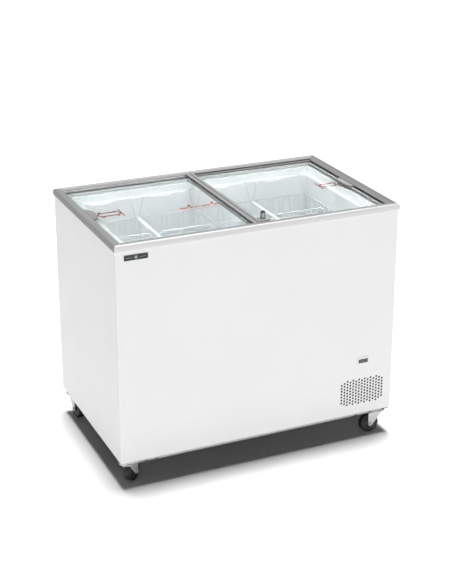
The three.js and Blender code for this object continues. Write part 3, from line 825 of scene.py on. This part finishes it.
def load_line():
    """A broken red line with two small triangles on the liner's rear wall."""
    level, wall, ink = 759, 0.25995, 0.0002
    dashes = ((-62, -32), (-20, 5), (25, 60), (74, 106))
    shapes = [stroke((a, level), (b, level), LINE_STROKE) for a, b in dashes]
    shapes += [[(x - 7, level + 11), (x + 7, level + 11), (x, level)] for x in (-26, 67)]
    shapes.append([(13, level - 4), (18, level - 4), (18, level + 4), (13, level + 4)])
    piece = flat_strips("load_line", shapes, 0, ink, RED_PRINT, "cabinet")
    facing_front(piece.data, wall)


print_arrow("left", outlined_arrow(-468, -386, y=-6, half=29, head=17, bar_left=0, bar_right=37))
print_arrow("right", outlined_arrow(384, 448, y=4, half=25, head=14, bar_left=38, bar_right=36))
load_line()


# ---- grips and lock ----

def grip(side, inward, extra, material):
    """A half-round finger tab, domed on top; extra is how much further it reaches than the CAD grip."""
    half_length, points, bevel = 0.055, 25, 0.0014
    flatness, fullness = 3.2, 0.6
    node = f"{side}_lid_grip"
    low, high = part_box(node)
    edge = low.x if inward > 0 else high.x
    reach = inward * (high.x - low.x + extra)
    outline = []
    for k in range(points):
        t = -1 + 2 * k / (points - 1)
        depth = (1 - abs(t) ** flatness) ** fullness
        outline.append((edge + reach * depth, half_length * t))
    if inward < 0:
        outline.reverse()
    height = high.z - low.z
    mesh = plate_mesh(f"{node}_tab", [outline], height, min(bevel, height / 2.5))
    piece = link(f"{node}_tab", moved(mesh, z=low.z))
    dress(piece, material, f"{side}_lid", [node])


def lock():
    """The bracket on the left lid's centre bar and the turned barrel standing on it."""
    foot = [(5.3, -298), (41, -298), (38, -286), (27, -268), (18, -262), (5.3, -262)]
    foot_height, foot_bevel, foot_seat = 0.0077, 0.0012, 0.8783
    barrel = [
        (5.2, 886.3), (9.5, 886.3), (9.5, 888.2), (8.9, 888.8), (8.9, 890.2), (9.3, 890.8),
        (8.5, 903.5), (8.0, 904.0), (8.0, 905.2), (8.3, 905.8), (8.1, 909.6), (7.2, 911), (5.3, 911),
    ]
    barrel_x, barrel_y = 0.019, -0.28
    mesh = plate_mesh("lock_foot", [eased(scaled(foot), 0.004)], foot_height, foot_bevel)
    bracket = link("lock_foot", moved(mesh, z=foot_seat))
    dress(bracket, MID_GREY, "left_lid", ["lock_bracket"])
    mesh = moved(ring_mesh("lock_case", scaled(barrel), 40), barrel_x, barrel_y)
    dress(link("lock_case", mesh), CHROME, "left_lid", ["lock_barrel"])


grip("left", 1, 0.009, GREY)
grip("right", -1, 0.0, MID_GREY)
lock()


# ---- castors ----

CASTORS = {  # x, y and the heading in degrees
    "front_left": (-0.486, -0.286, 41),
    "front_right": (0.486, -0.286, 180),
    "rear_left": (-0.486, 0.286, -87),
    "rear_right": (0.486, 0.286, 205),
}
TRAIL, RADIUS = 0.034, 0.036

# Turned sections in millimetres as (radius, height): the fork's crown, the hub, the tread and the race.
DISH = [
    (7, 80.0), (24, 80.0), (28, 81.4), (30.6, 84.4), (31.2, 88.0), (30.0, 88.4), (29.0, 85.0),
    (26.8, 83.2), (23, 82.2), (7, 82.2),
]
HUB_SECTION = [
    (4.4, -14), (9, -14), (9.8, -13.2), (9.8, -10.5), (12, -9.2), (22, -9.2), (24.6, -10.2), (26, -11),
    (26, 11), (24.6, 10.2), (22, 9.2), (12, 9.2), (9.8, 10.5), (9.8, 13.2), (9, 14), (4.4, 14),
]
TREAD_SECTION = [
    (26.1, -11.2), (28, -12), (31.5, -12), (33.8, -11.3), (35.3, -9.6), (36, -7), (36, 7),
    (35.3, 9.6), (33.8, 11.3), (31.5, 12), (28, 12), (26.1, 11.2),
]
RACE = [(7, 85.4), (20, 85.4), (24, 87.0), (26.5, 90.5), (26.5, 94.9), (7, 94.9)]


def fork_meshes():
    """Two side plates, the bridge between them and the dished crown, built trailing toward +X."""
    back, eye, top, edge = -0.012, 0.009, 0.0825, 0.078
    half_width, sheet, bridge, bridge_seat, corner = 0.0185, 0.0025, 0.0026, 0.0799, 0.003
    side = [(back, top), (back, edge)]
    for angle in range(215, 361, 12):
        a = math.radians(angle)
        side.append((TRAIL + eye * math.cos(a), RADIUS + eye * math.sin(a)))
    side.append((TRAIL + eye, top))
    meshes = [
        facing_front(plate_mesh("fork_side", [side], sheet, BEVEL), y)
        for y in (sheet - half_width, half_width)
    ]
    outline = box_outline(back, TRAIL + eye, -half_width, half_width, corner)
    meshes.append(moved(plate_mesh("fork_bridge", [outline], bridge, BEVEL), z=bridge_seat))
    return meshes + [ring_mesh("fork_dish", scaled(DISH), 40)]


def across(mesh):
    """Turns a body built on Z to lie along Y at the wheel's axle."""
    mesh.transform(Matrix.Translation((TRAIL, 0, RADIUS)) @ Matrix.Rotation(math.radians(90), 4, "X"))
    return mesh


def axle_meshes():
    """The pin through the wheel with a hexagon head and a washer at each end."""
    radius, length, face = 0.004, 0.040, 0.0187
    head, head_height, washer = 0.0062, 0.0030, 0.0008
    pin = plate_mesh("pin", [circle(0, 0, radius, 20)], length, BEVEL)
    meshes = [moved(across(pin), y=length / 2)]
    for end in (-1, 1):
        turn = Matrix.Rotation(math.radians(-90 * end), 4, "X")
        place = Matrix.Translation((TRAIL, end * face, RADIUS)) @ turn
        cap = plate_mesh("axle_nut", [circle(0, 0, head, 6)], head_height, BEVEL)
        ring = plate_mesh("axle_nut", [circle(0, 0, head * 1.25, 24)], washer, FINE_BEVEL)
        for mesh in (moved(cap, z=washer), ring):
            mesh.transform(place)
            meshes.append(mesh)
    return meshes


def castor_parts():
    """The five bodies of one castor: mesh, material, body, slot and the CAD nodes it stands for."""
    return {
        "fork": (joined("fork", fork_meshes()), ZINC, "castor_{}", "zinc", ["castor_fork_{}"]),
        "axle": (joined("axle", axle_meshes()), ZINC, "castor_{}", "zinc", []),
        "hub": (across(ring_mesh("hub", scaled(HUB_SECTION))), HUB, "wheel_{}", "black_plastic", []),
        "tread": (across(ring_mesh("tread", scaled(TREAD_SECTION), 64)), TREAD, "wheel_{}", "tyre",
                  ["castor_wheel_{}"]),
        "race": (ring_mesh("race", scaled(RACE), 40), RACEWAY, "cabinet", "galvanised", []),
    }


def castor_mount(corner, x, y):
    """The top plate under the base and the king pin through the race."""
    half, rounding, sheet, seat = 0.027, 0.004, 0.003, 0.0949
    pin_radius, pin_length, pin_seat = 0.006, 0.012, 0.0765
    plate = plate_mesh("plate", [box_outline(-half, half, -half, half, rounding)], sheet, BEVEL)
    plate = link(f"castor_top_{corner}", moved(plate, x, y, seat))
    dress(plate, GALVANISED, "cabinet", [f"castor_plate_{corner}"])
    pin = plate_mesh("pin", [circle(0, 0, pin_radius, 20)], pin_length, BEVEL)
    pin = link(f"king_pin_{corner}", moved(pin, x, y, pin_seat))
    dress(pin, RACEWAY, "cabinet")


def castors():
    parts = castor_parts()
    for corner, (x, y, heading) in CASTORS.items():
        place = Matrix.Translation((x, y, 0)) @ Matrix.Rotation(math.radians(heading), 4, "Z")
        for part, (mesh, material, body, slot, replaces) in parts.items():
            own = mesh.copy()
            own.transform(place)
            piece = link(f"castor_{part}_{corner}_fine", own)
            dress(piece, material, body.format(corner), [r.format(corner) for r in replaces])
        castor_mount(corner, x, y)


castors()
